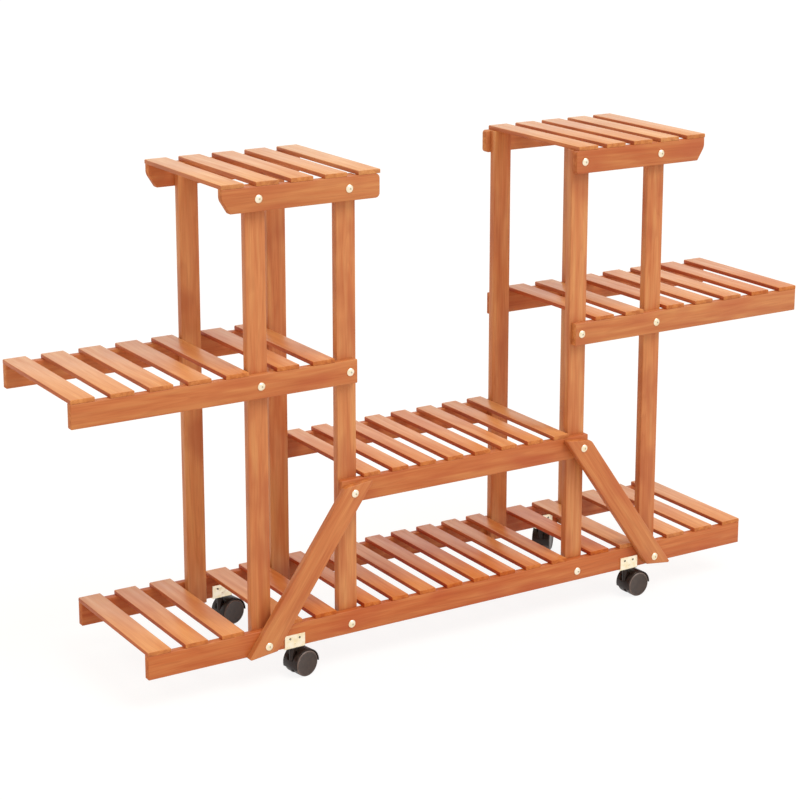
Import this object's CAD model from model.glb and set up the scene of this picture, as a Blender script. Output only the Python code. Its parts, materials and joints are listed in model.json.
import json
import math
import random

import bpy
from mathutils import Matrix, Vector


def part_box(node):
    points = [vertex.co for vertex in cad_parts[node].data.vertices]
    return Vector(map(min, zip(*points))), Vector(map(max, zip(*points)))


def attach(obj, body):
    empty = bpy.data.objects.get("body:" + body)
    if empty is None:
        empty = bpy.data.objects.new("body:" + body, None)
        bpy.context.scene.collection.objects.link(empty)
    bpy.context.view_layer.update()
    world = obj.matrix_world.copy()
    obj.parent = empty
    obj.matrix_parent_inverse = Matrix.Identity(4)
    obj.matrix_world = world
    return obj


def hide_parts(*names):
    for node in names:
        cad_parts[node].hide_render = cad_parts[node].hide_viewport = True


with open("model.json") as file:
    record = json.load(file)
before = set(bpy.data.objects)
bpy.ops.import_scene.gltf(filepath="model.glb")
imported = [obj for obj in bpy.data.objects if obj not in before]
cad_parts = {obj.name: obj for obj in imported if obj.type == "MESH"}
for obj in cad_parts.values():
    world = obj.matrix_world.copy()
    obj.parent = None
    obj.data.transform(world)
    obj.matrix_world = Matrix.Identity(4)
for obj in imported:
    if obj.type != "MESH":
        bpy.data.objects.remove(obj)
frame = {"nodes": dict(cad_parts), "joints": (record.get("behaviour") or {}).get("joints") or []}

mm = 0.001
quarter = math.pi / 2
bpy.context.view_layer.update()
bpy.ops.object.select_all(action="DESELECT")
print("frame loaded:", len(frame["nodes"]), "nodes")


# camera: left of the stand and a little above its top, as in the photograph

view = {
    "place": (-1725.0, -2738.0, 1303.0),     # mm
    "yaw": 0.551,                            # radians from +Y towards +X
    "pitch": 0.230,                          # radians below the horizon
    "focalPixels": 2130,                     # for a picture 800 pixels wide
    "pictureWidth": 800,
    "shiftPixels": -120,
}


def makeCamera():
    data = bpy.data.cameras.new("studioCamera")
    camera = bpy.data.objects.new("studioCamera", data)
    bpy.context.scene.collection.objects.link(camera)
    camera.location = [v * mm for v in view["place"]]
    level = math.cos(view["pitch"])
    ahead = Vector((math.sin(view["yaw"]) * level, math.cos(view["yaw"]) * level,
                    -math.sin(view["pitch"])))
    camera.rotation_mode = "QUATERNION"
    camera.rotation_quaternion = ahead.to_track_quat("-Z", "Y")
    data.sensor_width = 36
    data.lens = view["focalPixels"] / view["pictureWidth"] * data.sensor_width
    data.shift_y = view["shiftPixels"] / view["pictureWidth"]
    data.clip_start, data.clip_end = 0.05, 50
    bpy.context.scene.camera = camera


makeCamera()


# small helpers

def toLinear(hexColour):
    channels = [int(hexColour[i:i + 2], 16) / 255 for i in (1, 3, 5)]
    return [c / 12.92 if c <= 0.04045 else ((c + 0.055) / 1.055) ** 2.4 for c in channels] + [1]


def addNode(tree, kind, settings=None, links=None):
    # settings are the node's own values, its sockets' values or a ramp's stops
    node = tree.nodes.new(kind)
    for name, value in (settings or {}).items():
        if name == "stops":
            while len(node.color_ramp.elements) < len(value):
                node.color_ramp.elements.new(0.5)
            for element, (position, hexColour) in zip(node.color_ramp.elements, value):
                element.position = position
                element.color = toLinear(hexColour)
        elif isinstance(name, str) and hasattr(node, name):
            setattr(node, name, value)
        else:
            node.inputs[name].default_value = value
    for name, source in (links or {}).items():
        tree.links.new(source, node.inputs[name])
    return node


def startMaterial(name, look):
    material = bpy.data.materials.new(name)
    material.use_nodes = True
    tree = material.node_tree
    shader = tree.nodes["Principled BSDF"]
    shader.inputs["Roughness"].default_value = look["roughness"]
    shader.inputs["Metallic"].default_value = look.get("metallic", 0)
    shader.inputs["Specular IOR Level"].default_value = look.get("specular", 0.5)
    return material, tree, shader


# wood: planed softwood, dipped in an orange stain and rubbed down to a satin finish. Planed faces
# take the stain evenly, so soft long bands show in them, with a few rusty patches. Sawn edges
# drink more of it and come out deeper, and end grain deeper still.

grain = {
    "bandMm": 9, "bandStretch": 14,        # soft bands along the board
    "streakMm": 22, "streakStretch": 16,   # growth rings cut at a slant: long loops
    "rings": 9,                            # loops from one such band to the next
    "fibreMm": 1.2, "fibreStretch": 40,    # real fibres are finer; drawn so that they show
    "patchMm": 48, "patchStretch": 2.2,    # where the stain sank deeper
    "knotMm": 330, "knotStretch": 1.5,     # from knot to knot
    "knotSize": 5,                         # a small knot's radius
    "poreMm": 0.9, "poreStretch": 1,       # open pores in end grain
    "relief": 0.0002,                      # metres of raised fibre
    "knotColour": "#8C4427",
    "braceTurn": 0.96,                     # slope of the braces' grain, radians
}
railLook = {"pale": "#D48F57", "middle": "#CB7E4A", "deep": "#C2703F", "patch": "#B65B35",
            "patchDepth": 0.5, "ring": 0.26, "fibre": 0.3, "roughness": 0.46}
postLook = {"pale": "#DA9A62", "middle": "#D38A56", "deep": "#C97948", "patch": "#AE5931",
            "patchDepth": 0.6, "ring": 0.28, "fibre": 0.3, "roughness": 0.46}
slatLook = {"pale": "#E7A568", "middle": "#E1995B", "deep": "#D88B50", "patch": "#CA7644",
            "patchDepth": 0.4, "ring": 0.2, "fibre": 0.28, "roughness": 0.33}
edgeLook = {"pale": "#CE743C", "middle": "#C2622F", "deep": "#B05127", "patch": "#964022",
            "patchDepth": 0.35, "ring": 0.3, "fibre": 0.3, "roughness": 0.58}
endLook = {"pale": "#DE914F", "middle": "#D08040", "deep": "#BE6C34", "patch": "#9C4E2A",
           "patchDepth": 0.3, "ring": 0.45, "fibre": 0.4, "roughness": 0.6}


def stainedWood(name, look, turn, endGrain=False):
    material, tree, shader = startMaterial(name, look)
    # every board's own tone also moves its pattern, so no two boards match
    tone = addNode(tree, "ShaderNodeAttribute", {"attribute_name": "boardTone"})
    away = addNode(tree, "ShaderNodeVectorMath", {"operation": "SCALE", 0: (7.3, 4.1, 5.9)},
                   {"Scale": tone.outputs["Fac"]})
    spot = addNode(tree, "ShaderNodeVectorMath", {"operation": "ADD"},
                   {0: addNode(tree, "ShaderNodeTexCoord").outputs["Object"],
                    1: away.outputs["Vector"]})
    laid = addNode(tree, "ShaderNodeMapping", {"Rotation": turn},
                   {"Vector": spot.outputs["Vector"]})

    laidOut = {}
    for pattern in ("band", "streak", "fibre", "pore", "patch", "knot"):
        across = 1 / (grain[f"{pattern}Mm"] * mm)
        along = across if endGrain else across / grain[f"{pattern}Stretch"]
        scaled = addNode(tree, "ShaderNodeMapping", {"Scale": (along, across, across)},
                         {"Vector": laid.outputs["Vector"]})
        laidOut[pattern] = scaled.outputs["Vector"]

    bands = addNode(tree, "ShaderNodeTexNoise",
                    {"Scale": 1, "Detail": 2, "Roughness": 0.5, "Distortion": 0.3},
                    {"Vector": laidOut["band"]})
    colour = addNode(tree, "ShaderNodeValToRGB",
                     {"stops": [(0.30, look["deep"]), (0.5, look["middle"]),
                                (0.70, look["pale"])]}, {"Fac": bands.outputs["Fac"]})

    field = addNode(tree, "ShaderNodeTexNoise", {"Scale": 1, "Detail": 1, "Distortion": 0.2},
                    {"Vector": laidOut["streak"]})
    folds = addNode(tree, "ShaderNodeMath", {"operation": "MULTIPLY", 1: grain["rings"]},
                    {0: field.outputs["Fac"]})
    saw = addNode(tree, "ShaderNodeMath", {"operation": "FRACT"}, {0: folds.outputs["Value"]})
    ring = addNode(tree, "ShaderNodeValToRGB",
                   {"stops": [(0.0, "#FFFFFF"), (0.62, "#F1E6DE"), (0.88, "#DCC3B2"),
                              (1.0, "#FFFFFF")]}, {"Fac": saw.outputs["Value"]})
    ringed = addNode(tree, "ShaderNodeMix",
                     {"data_type": "RGBA", "blend_type": "MULTIPLY", 0: look["ring"]},
                     {6: colour.outputs["Color"], 7: ring.outputs["Color"]})

    fibres = addNode(tree, "ShaderNodeTexNoise", {"Scale": 1, "Detail": 3, "Roughness": 0.6},
                     {"Vector": laidOut["pore" if endGrain else "fibre"]})
    fibreShade = addNode(tree, "ShaderNodeValToRGB",
                         {"stops": [(0.32, "#D6C8BE"), (0.56, "#FFFFFF")]},
                         {"Fac": fibres.outputs["Fac"]})
    fibred = addNode(tree, "ShaderNodeMix",
                     {"data_type": "RGBA", "blend_type": "MULTIPLY", 0: look["fibre"]},
                     {6: ringed.outputs[2], 7: fibreShade.outputs["Color"]})

    patches = addNode(tree, "ShaderNodeTexNoise", {"Scale": 1, "Detail": 2},
                      {"Vector": laidOut["patch"]})
    patchMask = addNode(tree, "ShaderNodeMapRange",
                        {"From Min": 0.5, "From Max": 0.68, "To Max": look["patchDepth"]},
                        {"Value": patches.outputs["Fac"]})
    patched = addNode(tree, "ShaderNodeMix",
                      {"data_type": "RGBA", 7: toLinear(look["patch"])},
                      {0: patchMask.outputs["Result"], 6: fibred.outputs[2]})

    knots = addNode(tree, "ShaderNodeTexVoronoi", {"Scale": 1},
                    {"Vector": laidOut["knot"]})
    reach = grain["knotSize"] / grain["knotMm"]
    knotMask = addNode(tree, "ShaderNodeMapRange",
                       {"From Min": reach * 0.4, "From Max": reach * 1.5, "To Min": 0.7,
                        "To Max": 0.0}, {"Value": knots.outputs["Distance"]})
    knotted = addNode(tree, "ShaderNodeMix",
                      {"data_type": "RGBA", 7: toLinear(grain["knotColour"])},
                      {0: knotMask.outputs["Result"], 6: patched.outputs[2]})

    # a board that took more stain is redder, fuller and darker
    hue = addNode(tree, "ShaderNodeMath", {"operation": "MULTIPLY_ADD", 1: 0.1, 2: 0.4},
                  {0: tone.outputs["Fac"]})
    stained = addNode(tree, "ShaderNodeMath", {"operation": "MULTIPLY_ADD", 1: -0.8, 2: 1.8},
                      {0: tone.outputs["Fac"]})
    toned = addNode(tree, "ShaderNodeHueSaturation", {},
                    {"Hue": hue.outputs["Value"], "Saturation": stained.outputs["Value"],
                     "Value": tone.outputs["Fac"], "Color": knotted.outputs[2]})
    tree.links.new(toned.outputs["Color"], shader.inputs["Base Color"])

    worn = addNode(tree, "ShaderNodeMapRange",
                   {"From Min": 0.3, "From Max": 0.7, "To Min": look["roughness"] + 0.07,
                    "To Max": look["roughness"] - 0.05}, {"Value": bands.outputs["Fac"]})
    tree.links.new(worn.outputs["Result"], shader.inputs["Roughness"])
    relief = addNode(tree, "ShaderNodeBump", {"Strength": 0.25, "Distance": grain["relief"]},
                     {"Height": fibres.outputs["Fac"]})
    tree.links.new(relief.outputs["Normal"], shader.inputs["Normal"])
    return material


railWood = stainedWood("stainedSoftwoodRail", railLook, (0, 0, 0))
postWood = stainedWood("stainedSoftwoodPost", postLook, (0, quarter, 0))
slatWood = stainedWood("stainedSoftwoodSlat", slatLook, (0, 0, quarter))
leftBraceWood = stainedWood("stainedSoftwoodLeftBrace", railLook, (0, grain["braceTurn"], 0))
rightBraceWood = stainedWood("stainedSoftwoodRightBrace", railLook, (0, -grain["braceTurn"], 0))
slatEdgeWood = stainedWood("sawnSoftwoodSlatEdge", edgeLook, (0, 0, quarter))
endWood = stainedWood("sawnSoftwoodEndGrain", endLook, (0, 0, 0), endGrain=True)
print("wood finishes made")


# zinc-plated and yellow-passivated steel: bright, a little milky, faintly cloudy
platedLook = {"colour": "#FFF4DC", "stain": "#F7E6BF", "roughness": 0.34, "metallic": 1.0,
              "cloudMm": 7, "textureMm": 0.8, "relief": 0.1}
# the same steel inside a driver recess, where dirt and shade gather
recessLook = {"colour": "#E4DAC5", "stain": "#CEC5B1", "roughness": 0.5, "metallic": 1.0,
              "cloudMm": 1, "textureMm": 0.5, "relief": 0.1}
# blackened steel of the small screws
blackLook = {"colour": "#4A4438", "stain": "#35302A", "roughness": 0.42, "metallic": 0.6,
             "cloudMm": 1, "textureMm": 0.5, "relief": 0.1}
# turned steel of the pins and axles: plain grey metal with a close sheen
turnedLook = {"colour": "#BDBAB4", "stain": "#A19D97", "roughness": 0.28, "metallic": 1.0,
              "cloudMm": 3, "textureMm": 0.6, "relief": 0.1}
# moulded nylon: nearly black brown on the housings, a greyer brown on the wheels, both with the
# fine matt texture of the mould, which shows as a soft broad sheen
hoodLook = {"colour": "#2C1F1B", "stain": "#231815", "roughness": 0.36, "specular": 0.3,
            "cloudMm": 5, "textureMm": 0.5, "relief": 0.25}
wheelLook = {"colour": "#42352F", "stain": "#392D29", "roughness": 0.42, "metallic": 0,
             "cloudMm": 6, "textureMm": 0.5, "relief": 0.2}
rimLook = {"colour": "#786863", "stain": "#6B5D58", "roughness": 0.36, "metallic": 0,
           "cloudMm": 6, "textureMm": 0.5, "relief": 0.2}


def mottled(name, look):
    material, tree, shader = startMaterial(name, look)
    spot = addNode(tree, "ShaderNodeTexCoord").outputs["Object"]
    clouds = addNode(tree, "ShaderNodeTexNoise",
                     {"Scale": 1 / (look["cloudMm"] * mm), "Detail": 3}, {"Vector": spot})
    colour = addNode(tree, "ShaderNodeValToRGB",
                     {"stops": [(0.35, look["stain"]), (0.62, look["colour"])]},
                     {"Fac": clouds.outputs["Fac"]})
    tree.links.new(colour.outputs["Color"], shader.inputs["Base Color"])
    texture = addNode(tree, "ShaderNodeTexNoise",
                      {"Scale": 1 / (look["textureMm"] * mm), "Detail": 2}, {"Vector": spot})
    relief = addNode(tree, "ShaderNodeBump",
                     {"Strength": look["relief"], "Distance": 0.0001},
                     {"Height": texture.outputs["Fac"]})
    tree.links.new(relief.outputs["Normal"], shader.inputs["Normal"])
    return material


platedSteel = mottled("creamPlatedSteel", platedLook)
recessSteel = mottled("shadedPlatedSteel", recessLook)
blackSteel = mottled("blackenedScrewSteel", blackLook)
turnedSteel = mottled("turnedSteel", turnedLook)
hoodNylon = mottled("mouldedBlackNylon", hoodLook)
wheelNylon = mottled("mouldedBrownNylon", wheelLook)
rimNylon = mottled("mouldedBrownNylonRim", rimLook)
print("metal and plastic finishes made")


# modelling helpers

def pick(piece):
    bpy.ops.object.select_all(action="DESELECT")
    piece.select_set(True)
    bpy.context.view_layer.objects.active = piece


def addBlock(name, low, high, tilt=0):
    # a block from corner to corner, turned about +Y round its own middle
    bpy.ops.object.select_all(action="DESELECT")
    bpy.ops.mesh.primitive_cube_add(size=1, location=(Vector(low) + Vector(high)) / 2,
                                    rotation=(0, tilt, 0))
    piece = bpy.context.object
    piece.name = name
    piece.scale = Vector(high) - Vector(low)
    bpy.ops.object.transform_apply(location=True, rotation=True, scale=True)
    return piece


def clearSelection(piece):
    for part in (piece.data.vertices, piece.data.edges, piece.data.polygons):
        part.foreach_set("select", [False] * len(part))


def editEdges(piece, wanted):
    # goes into edit mode with the edges selected whose two ends both pass
    pick(piece)
    clearSelection(piece)
    points = piece.data.vertices
    for edge in piece.data.edges:
        if all(wanted(points[i].co) for i in edge.vertices):
            edge.select = True
            for i in edge.vertices:
                points[i].select = True
    bpy.ops.object.mode_set(mode="EDIT")
    bpy.ops.mesh.select_mode(type="EDGE")


def editFaces(piece, wanted):
    pick(piece)
    clearSelection(piece)
    for face in piece.data.polygons:
        face.select = wanted(face)
    bpy.ops.object.mode_set(mode="EDIT")
    bpy.ops.mesh.select_mode(type="FACE")


def backToObject():
    bpy.ops.object.mode_set(mode="OBJECT")


def cutAway(piece, point, outward):
    # saws the piece off at a plane and closes it; points within 0.1 mm count as on the plane
    pick(piece)
    bpy.ops.object.mode_set(mode="EDIT")
    bpy.ops.mesh.select_all(action="SELECT")
    bpy.ops.mesh.bisect(plane_co=point, plane_no=outward, use_fill=True, clear_outer=True)
    backToObject()


def applyModifier(piece, kind, **settings):
    pick(piece)
    modifier = piece.modifiers.new(kind.title(), kind)
    for name, value in settings.items():
        setattr(modifier, name, value)
    bpy.ops.object.modifier_apply(modifier=modifier.name)


def softenEdges(piece, widthMm, segments=2, angle=30):
    applyModifier(piece, "BEVEL", width=widthMm * mm, segments=segments,
                  limit_method="ANGLE", angle_limit=math.radians(angle))


def smooth(piece, angle=35):
    pick(piece)
    bpy.ops.object.shade_smooth_by_angle(angle=math.radians(angle))


# boards

board = {"ease": 1.2, "slatRound": 1.7, "slatEase": 0.7, "toneSpread": 0.035, "seed": 11,
         "facing": 0.8,                       # how squarely a face looks along an axis
         "topShelfTone": 0.07, "middleShelfTone": -0.02, "lowRailTone": -0.06,
         "underShelfTone": -0.07, "underShelfReach": 0.3}      # reach in metres from the middle
tones = random.Random(board["seed"])


def finishBoard(piece, faceWood, grainAxis, edgeWood=None, edgeAxis=None):
    # long grain on the faces, deeper wood on sawn edges, end grain on the ends, one tone a board
    for material in (faceWood, endWood, edgeWood or faceWood):
        piece.data.materials.append(material)
    for face in piece.data.polygons:
        if abs(face.normal.dot(grainAxis)) > board["facing"]:
            face.material_index = 1
        elif edgeAxis and abs(face.normal.dot(edgeAxis)) > board["facing"]:
            face.material_index = 2
    tone = piece.data.attributes.new("boardTone", "FLOAT", "POINT")
    value = 1 + tones.uniform(-board["toneSpread"], board["toneSpread"])
    middle = (Vector(piece.bound_box[0]) + Vector(piece.bound_box[6])) / 2
    if piece.name.startswith("bottom") and "rail" in piece.name:
        value += board["lowRailTone"]
    elif piece.name.startswith("bottom") and abs(middle.x) < board["underShelfReach"]:
        value += board["underShelfTone"]      # the middle of the foot has kept its colour
    elif piece.name.startswith("top") and "slats" in piece.name:
        value += board["topShelfTone"]
    elif piece.name.startswith("middle") and "slats" in piece.name:
        value += board["middleShelfTone"]
    tone.data.foreach_set("value", [value] * len(tone.data))
    smooth(piece)
    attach(piece, "stand")


def spansAlongX(node):
    # where a group's separate slats begin and end
    mesh = frame["nodes"][node].data
    spans = []
    for low, high in sorted((min(mesh.vertices[i].co.x for i in face.vertices),
                             max(mesh.vertices[i].co.x for i in face.vertices))
                            for face in mesh.polygons):
        if spans and low < spans[-1][1] + 0.1 * mm:
            spans[-1][1] = max(spans[-1][1], high)
        else:
            spans.append([low, high])
    return spans


def makeSlats(node):
    low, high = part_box(node)
    for number, (left, right) in enumerate(spansAlongX(node), 1):
        slat = addBlock(f"{node}_{number}", (left, low.y, low.z), (right, high.y, high.z))
        # the two long upper edges are rounded over, the rest only broken
        softenLongEdges(slat, left, right, high.z)
        softenEdges(slat, board["slatEase"], 2, 50)
        finishBoard(slat, slatWood, Vector((0, 1, 0)),
                    slatEdgeWood, Vector((1, 0, 0)))
        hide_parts(node)


def softenLongEdges(slat, left, right, top):
    for x in (left, right):
        editEdges(slat, lambda p: abs(p.x - x) < 0.01 * mm and abs(p.z - top) < 0.01 * mm)
        bpy.ops.mesh.bevel(offset=board["slatRound"] * mm, segments=4, affect="EDGES")
        backToObject()


topRail = {"clipAcross": 13, "clipUp": 21, "clipSoft": 4, "leftRound": 7, "rightRound": 5}


def roundCorner(piece, x, z, radiusMm, steps=6):
    # rounds a board's corner as seen from the front
    editEdges(piece, lambda p: abs(p.x - x) < 0.05 * mm and abs(p.z - z) < 0.05 * mm)
    bpy.ops.mesh.bevel(offset=radiusMm * mm, segments=steps, affect="EDGES")
    backToObject()


def clipCorner(piece, x, z, side):
    # side is -1 for a rail's left end and 1 for its right one
    across, up = topRail["clipAcross"] * mm, topRail["clipUp"] * mm
    outward = Vector((side * up, 0, -across)).normalized()
    cutAway(piece, (x - side * across, 0, z), outward)
    roundCorner(piece, x, z + up, topRail["clipSoft"])


def makeRail(node):
    low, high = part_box(node)
    rail = addBlock(f"{node}_board", low, high)
    if node.startswith("top_left"):
        clipCorner(rail, low.x, low.z, -1)
        for z in (low.z, high.z):
            roundCorner(rail, high.x, z, topRail["leftRound"])
    if node.startswith("top_right"):
        clipCorner(rail, high.x, low.z, 1)
        for z in (low.z, high.z):
            roundCorner(rail, low.x, z, topRail["rightRound"])
    softenEdges(rail, board["ease"], 3)
    finishBoard(rail, railWood, Vector((1, 0, 0)))
    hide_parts(node)


def makePost(node):
    low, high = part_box(node)
    post = addBlock(f"{node}_board", low, high)
    softenEdges(post, board["ease"], 3)
    finishBoard(post, postWood, Vector((0, 0, 1)))
    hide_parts(node)


def postMiddle(node):
    low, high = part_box(node)
    return (low.x + high.x) / 2


screwRise = {"bottom": 15, "other": 18}       # above a rail's underside, mm
brace = {"width": 36, "cutRise": 7, "cornerRound": 4, "spare": 30}    # spare is sawn off


def makeBrace(node, side):
    # side is 1 for the left brace, which rises to the right, and -1 for the right one
    low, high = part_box(node)
    middle = (low + high) / 2
    run = abs(postMiddle("inner_left_front_post") - postMiddle("outer_left_front_post"))
    rise = (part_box("centre_front_rail")[0].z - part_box("bottom_front_rail")[0].z
            + (screwRise["other"] - screwRise["bottom"]) * mm)
    slope = math.atan2(rise, run)
    half = Vector((math.hypot(run, rise), high.y - low.y, brace["width"] * mm)) / 2
    half.x += brace["spare"] * mm
    plank = addBlock(f"{node}_board", middle - half, middle + half, -side * slope)
    lift = math.radians(brace["cutRise"])
    upward = Vector((-side * math.sin(lift), 0, math.cos(lift)))
    inner, outer = (high.x, low.x) if side > 0 else (low.x, high.x)
    cutAway(plank, (inner, 0, high.z), upward)
    cutAway(plank, (outer, 0, low.z), -upward)
    upper = [v.co for v in plank.data.vertices if v.co.z > middle.z]
    corner = min(upper, key=lambda p: p.x * side).copy()
    roundCorner(plank, corner.x, corner.z, brace["cornerRound"])
    softenEdges(plank, board["ease"], 3)
    finishBoard(plank, leftBraceWood if side > 0 else rightBraceWood, upward)
    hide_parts(node)


for node in sorted(frame["nodes"]):
    if node.endswith("_slats"):
        makeSlats(node)
    elif node.endswith("_rail"):
        makeRail(node)
    elif node.endswith("_post"):
        makePost(node)
makeBrace("left_brace", 1)
makeBrace("right_brace", -1)
print("boards made")


# screws: domed heads with a hexagon recess

frameScrew = {"headRadius": 6, "headHeight": 3, "rim": 0.7, "recess": 1.7, "depth": 1.2,
              "ease": 0.25, "around": 40, "drawnAt": 1}
smallScrew = {"headRadius": 1.6, "headHeight": 0.8, "rim": 0.2, "recess": 0.6, "depth": 0.4,
              "ease": 0.06, "around": 20, "drawnAt": 8}
dome = {"rings": 56, "recessTop": 0.93}       # the recess lies under this share of the height


def makeHead(look, material):
    # a cap cut from a ball and set on a short rim; it faces -Y, its underside at the origin.
    # The small one is drawn larger and shrunk at the end: at its own size two rings of the ball
    # are within the saw's 0.1 mm, and the face that closes the cap is torn.
    unit = mm * look["drawnAt"]
    rise = look["headHeight"] - look["rim"]
    ball = (look["headRadius"] ** 2 + rise ** 2) / (2 * rise)
    bpy.ops.object.select_all(action="DESELECT")
    bpy.ops.mesh.primitive_uv_sphere_add(segments=look["around"], ring_count=dome["rings"],
                                         radius=ball * unit, rotation=(quarter, 0, 0),
                                         location=(0, (ball - look["headHeight"]) * unit, 0))
    head = bpy.context.object
    bpy.ops.object.transform_apply(location=True, rotation=True, scale=True)
    cutAway(head, (0, -look["rim"] * unit, 0), (0, 1, 0))
    editFaces(head, lambda face: face.normal.y > 0.99)
    bpy.ops.mesh.extrude_region_move(TRANSFORM_OT_translate={"value": (0, look["rim"] * unit, 0)})
    backToObject()
    bpy.ops.object.select_all(action="DESELECT")
    bpy.ops.mesh.primitive_cylinder_add(vertices=6, radius=look["recess"] * unit,
                                        depth=look["depth"] * 2 * unit, rotation=(quarter, 0, 0),
                                        location=(0, -look["headHeight"] * unit, 0))
    key = bpy.context.object
    bpy.ops.object.transform_apply(location=True, rotation=True, scale=True)
    applyModifier(head, "BOOLEAN", object=key, operation="DIFFERENCE", solver="EXACT")
    bpy.data.objects.remove(key)
    softenEdges(head, look["ease"] * look["drawnAt"], 2, 40)
    head.data.materials.clear()
    head.data.materials.append(material)
    head.data.materials.append(recessSteel)
    top = -look["headHeight"] * unit * dome["recessTop"]
    for face in head.data.polygons:
        away = math.hypot(face.center.x, face.center.z)
        if away < look["recess"] * unit and face.center.y > top:
            face.material_index = 1
    pick(head)
    head.scale = [1 / look["drawnAt"]] * 3
    bpy.ops.object.transform_apply(location=False, rotation=False, scale=True)
    smooth(head, 30)
    return head


def seatHeads(master, spots):
    # spots are x, y, z and whether the head faces the back; each copy has its own mesh
    copies = []
    for x, y, z, fromBack in spots:
        copy = bpy.data.objects.new(master.name, master.data.copy())
        bpy.context.scene.collection.objects.link(copy)
        copy.location = (x, y, z)
        copy.rotation_euler.z = math.pi if fromBack else 0
        copies.append(copy)
    bpy.ops.object.select_all(action="DESELECT")
    for copy in copies:
        copy.select_set(True)
    bpy.context.view_layer.objects.active = copies[0]
    bpy.ops.object.transform_apply(location=True, rotation=True, scale=True)
    bpy.ops.object.join()
    bpy.data.objects.remove(master)
    return bpy.context.object


def finishHeads(heads, name, node):
    heads.name = name
    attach(heads, "stand")
    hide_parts(node)


def makeFrameScrews():
    spots = []
    for rail in sorted(n for n in frame["nodes"] if n.endswith("_rail")):
        low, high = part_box(rail)
        level = "bottom" if rail.startswith("bottom") else "other"
        z = low.z + screwRise[level] * mm
        side = "front" if "_front_" in rail else "back"
        for post in sorted(n for n in frame["nodes"] if n.endswith(f"_{side}_post")):
            x = postMiddle(post)
            if not low.x < x < high.x:
                continue
            braced = rail.startswith("centre") or (level == "bottom" and "outer" in post)
            if side == "back":
                spots.append((x, high.y, z, True))
            else:
                spots.append((x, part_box("left_brace")[0].y if braced else low.y, z, False))
    heads = seatHeads(makeHead(frameScrew, platedSteel), spots)
    finishHeads(heads, "frameScrewHeads", "frame_screws")
    print("frame screws:", len(spots))


bracketScrew = {"spacing": 16, "upper": 14, "lower": 6, "plate": 2}


def makeBracketScrews():
    # two blackened screws above; the lower one is plated like the plate and hardly shows
    upper, lower = [], []
    for node in sorted(n for n in frame["nodes"] if n.endswith("_bracket")):
        low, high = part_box(node)
        x, foot = (low.x + high.x) / 2, low.z + bracketScrew["plate"] * mm
        for side in (-1, 1):
            across = side * bracketScrew["spacing"] / 2 * mm
            upper.append((x + across, low.y, foot + bracketScrew["upper"] * mm, False))
        lower.append((x, low.y, foot + bracketScrew["lower"] * mm, False))
    heads = seatHeads(makeHead(smallScrew, blackSteel), upper)
    finishHeads(heads, "upperBracketScrewHeads", "bracket_screws")
    heads = seatHeads(makeHead(smallScrew, platedSteel), lower)
    finishHeads(heads, "lowerBracketScrewHeads", "bracket_screws")


makeFrameScrews()
makeBracketScrews()


# castors: the solids' own shapes, with their moulded and pressed edges broken

castor = {"hoodEase": 0.35, "wheelEase": 0.3, "plateEase": 0.3, "steelEase": 0.15,
          "weld": 0.004, "flatWithin": 0.6,              # mm and degrees
          "discRadius": 17, "rimOut": 12, "rimFacing": 0.6,
          "corners": ("front_left", "front_right", "back_left", "back_right")}


def easedCopy(node, easeMm, material, body):
    # the solid's mesh, welded and with its flat faces whole again, before its edges are eased
    bpy.ops.object.select_all(action="DESELECT")
    piece = bpy.data.objects.new(f"{node}_dressed", frame["nodes"][node].data.copy())
    bpy.context.scene.collection.objects.link(piece)
    pick(piece)
    bpy.ops.object.mode_set(mode="EDIT")
    bpy.ops.mesh.select_all(action="SELECT")
    bpy.ops.mesh.remove_doubles(threshold=castor["weld"] * mm)
    bpy.ops.mesh.dissolve_limited(angle_limit=math.radians(castor["flatWithin"]))
    backToObject()
    softenEdges(piece, easeMm, 2, 40)
    piece.data.materials.clear()
    piece.data.materials.append(material)
    smooth(piece, 30)
    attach(piece, body)
    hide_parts(node)
    return piece


def tintRim(piece, wheelNode):
    # the raised rim round a wheel's dished disc is rubbed a little lighter
    joint = next(j for j in frame["joints"] if j["name"] == f"{wheelNode}_roll")
    centre, axis = Vector(joint["pos_m"]), Vector(joint["axis"])
    piece.data.materials.append(rimNylon)
    for face in piece.data.polygons:
        arm = face.center - centre
        out = abs(arm.dot(axis))
        away = (arm - axis * arm.dot(axis)).length
        onRim = out > castor["rimOut"] * mm and away > castor["discRadius"] * mm
        if onRim and abs(face.normal.dot(axis)) > castor["rimFacing"]:
            face.material_index = 1


for corner in castor["corners"]:
    easedCopy(f"{corner}_bracket", castor["plateEase"], platedSteel, "stand")
    easedCopy(f"{corner}_housing", castor["hoodEase"], hoodNylon, f"{corner}_castor")
    for letter in "ab":
        wheelNode = f"{corner}_wheel_{letter}"
        wheel = easedCopy(wheelNode, castor["wheelEase"], wheelNylon, wheelNode)
        tintRim(wheel, wheelNode)
    easedCopy(f"{corner}_pin", castor["steelEase"], turnedSteel, "stand")
    easedCopy(f"{corner}_axle", castor["steelEase"], turnedSteel, f"{corner}_castor")
print("castors dressed")


# studio: white paper floor, an even warm sky, and one broad soft light from above the right
# shoulder, so that shadows fall to the left and to the back

studio = {"skyForWood": "#EADCC8", "floorBounce": "#E2D6C8", "floorSeen": "#FAFAFA", "glow": 0.82,
          "glowStrength": 1.06, "floorSize": 30, "sunStrength": 1.32, "sunWidth": 35,
          "sunTurn": 25, "sunRise": 58, "sunAway": 4}


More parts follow.
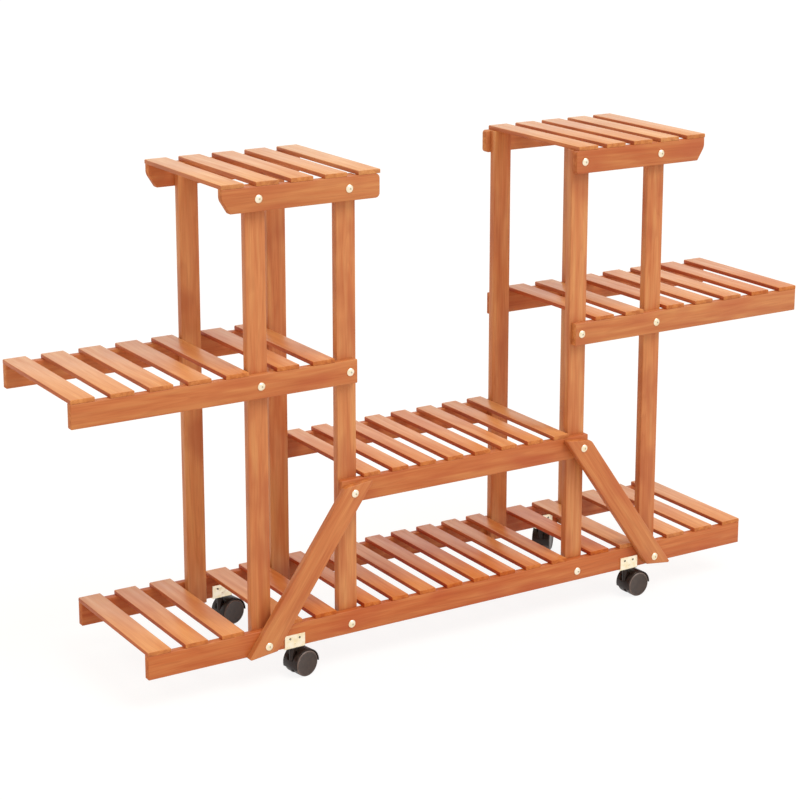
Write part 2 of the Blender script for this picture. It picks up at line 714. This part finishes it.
def directlySeen(tree):
    # 1 where the camera looks, or a reflection or clear glass shows; 0 where light only bounces
    path = addNode(tree, "ShaderNodeLightPath")
    seen = addNode(tree, "ShaderNodeMath", {"operation": "MAXIMUM"},
                   {0: path.outputs["Is Camera Ray"], 1: path.outputs["Is Glossy Ray"]})
    return addNode(tree, "ShaderNodeMath", {"operation": "MAXIMUM"},
                   {0: seen.outputs["Value"], 1: path.outputs["Is Transmission Ray"]})


def makeFloor():
    bpy.ops.object.select_all(action="DESELECT")
    bpy.ops.mesh.primitive_plane_add(size=studio["floorSize"], location=(0, 0, 0))
    floor = bpy.context.object
    floor.name = "studioFloor"
    material, tree, shader = startMaterial("mattWhitePaper", {"roughness": 0.9})
    seen = directlySeen(tree)
    paper = addNode(tree, "ShaderNodeMix",
                    {"data_type": "RGBA", 6: toLinear(studio["floorBounce"]),
                     7: toLinear(studio["floorSeen"])}, {0: seen.outputs["Value"]})
    tree.links.new(paper.outputs[2], shader.inputs["Base Color"])
    share = addNode(tree, "ShaderNodeMath", {"operation": "MULTIPLY", 1: studio["glow"]},
                    {0: seen.outputs["Value"]})
    glow = addNode(tree, "ShaderNodeEmission", {"Strength": studio["glowStrength"]})
    mix = addNode(tree, "ShaderNodeMixShader", links={
        0: share.outputs["Value"], 1: shader.outputs["BSDF"], 2: glow.outputs["Emission"]})
    tree.links.new(mix.outputs["Shader"], tree.nodes["Material Output"].inputs["Surface"])
    floor.data.materials.append(material)


def makeSky():
    world = bpy.data.worlds.new("studioSky")
    bpy.context.scene.world = world
    world.use_nodes = True
    tree = world.node_tree
    seen = directlySeen(tree)
    light = addNode(tree, "ShaderNodeMix",
                    {"data_type": "RGBA", 6: toLinear(studio["skyForWood"]),
                     7: toLinear("#FFFFFF")}, {0: seen.outputs["Value"]})
    tree.links.new(light.outputs[2], tree.nodes["Background"].inputs["Color"])


def makeSun():
    data = bpy.data.lights.new("softSun", "SUN")
    data.energy = studio["sunStrength"]
    data.angle = math.radians(studio["sunWidth"])
    lamp = bpy.data.objects.new("softSun", data)
    bpy.context.scene.collection.objects.link(lamp)
    turn, rise = math.radians(studio["sunTurn"]), math.radians(studio["sunRise"])
    level = math.cos(rise)
    down = -Vector((math.sin(turn) * level, -math.cos(turn) * level, math.sin(rise)))
    lamp.location = -down * studio["sunAway"]
    lamp.rotation_mode = "QUATERNION"
    lamp.rotation_quaternion = down.to_track_quat("-Z", "Y")


makeFloor()
makeSky()
makeSun()
bpy.context.scene.view_settings.view_transform = "Standard"
print("studio made")
